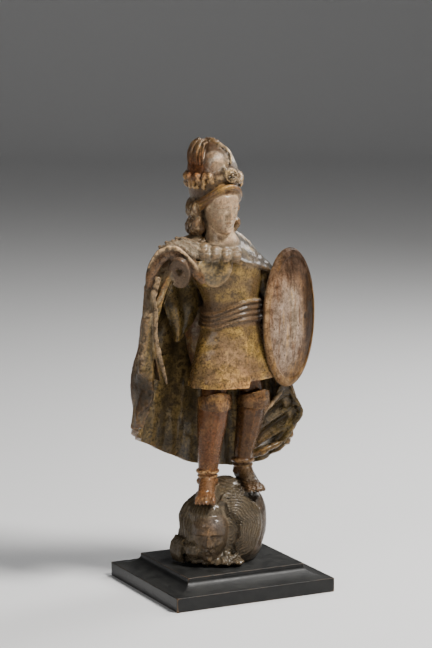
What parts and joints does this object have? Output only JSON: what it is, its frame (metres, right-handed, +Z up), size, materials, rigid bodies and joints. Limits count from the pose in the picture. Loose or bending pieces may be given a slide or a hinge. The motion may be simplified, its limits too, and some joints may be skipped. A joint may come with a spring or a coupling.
{
  "type": "saint statue",
  "caption": "Carved and gilded wooden figure of a warrior saint with helmet, cloak and oval shield, standing on a fallen head, on a low moulded plinth.",
  "frame": {"origin": "centre of the plinth's underside", "axes": "+Z up, -Y the way the saint faces, +X the saint's left, where the shield is"},
  "size_m": [0.2102, 0.162, 0.4672],
  "materials": {
    "ebonised_wood": "black stain under worn wax, with brown wood at the worn edges and grey dust in the hollow",
    "gilded_wood": "worn gilding and red-brown paint over carved wood, under a patchy aged varnish",
    "painted_shield": "worn red-brown and gold paint, streaked and chipped, under a satin varnish"
  },
  "bodies": {
    "root": {"plinth": "ebonised_wood", "saint_figure": "gilded_wood", "shield": "painted_shield"}
  },
  "joints": []
}
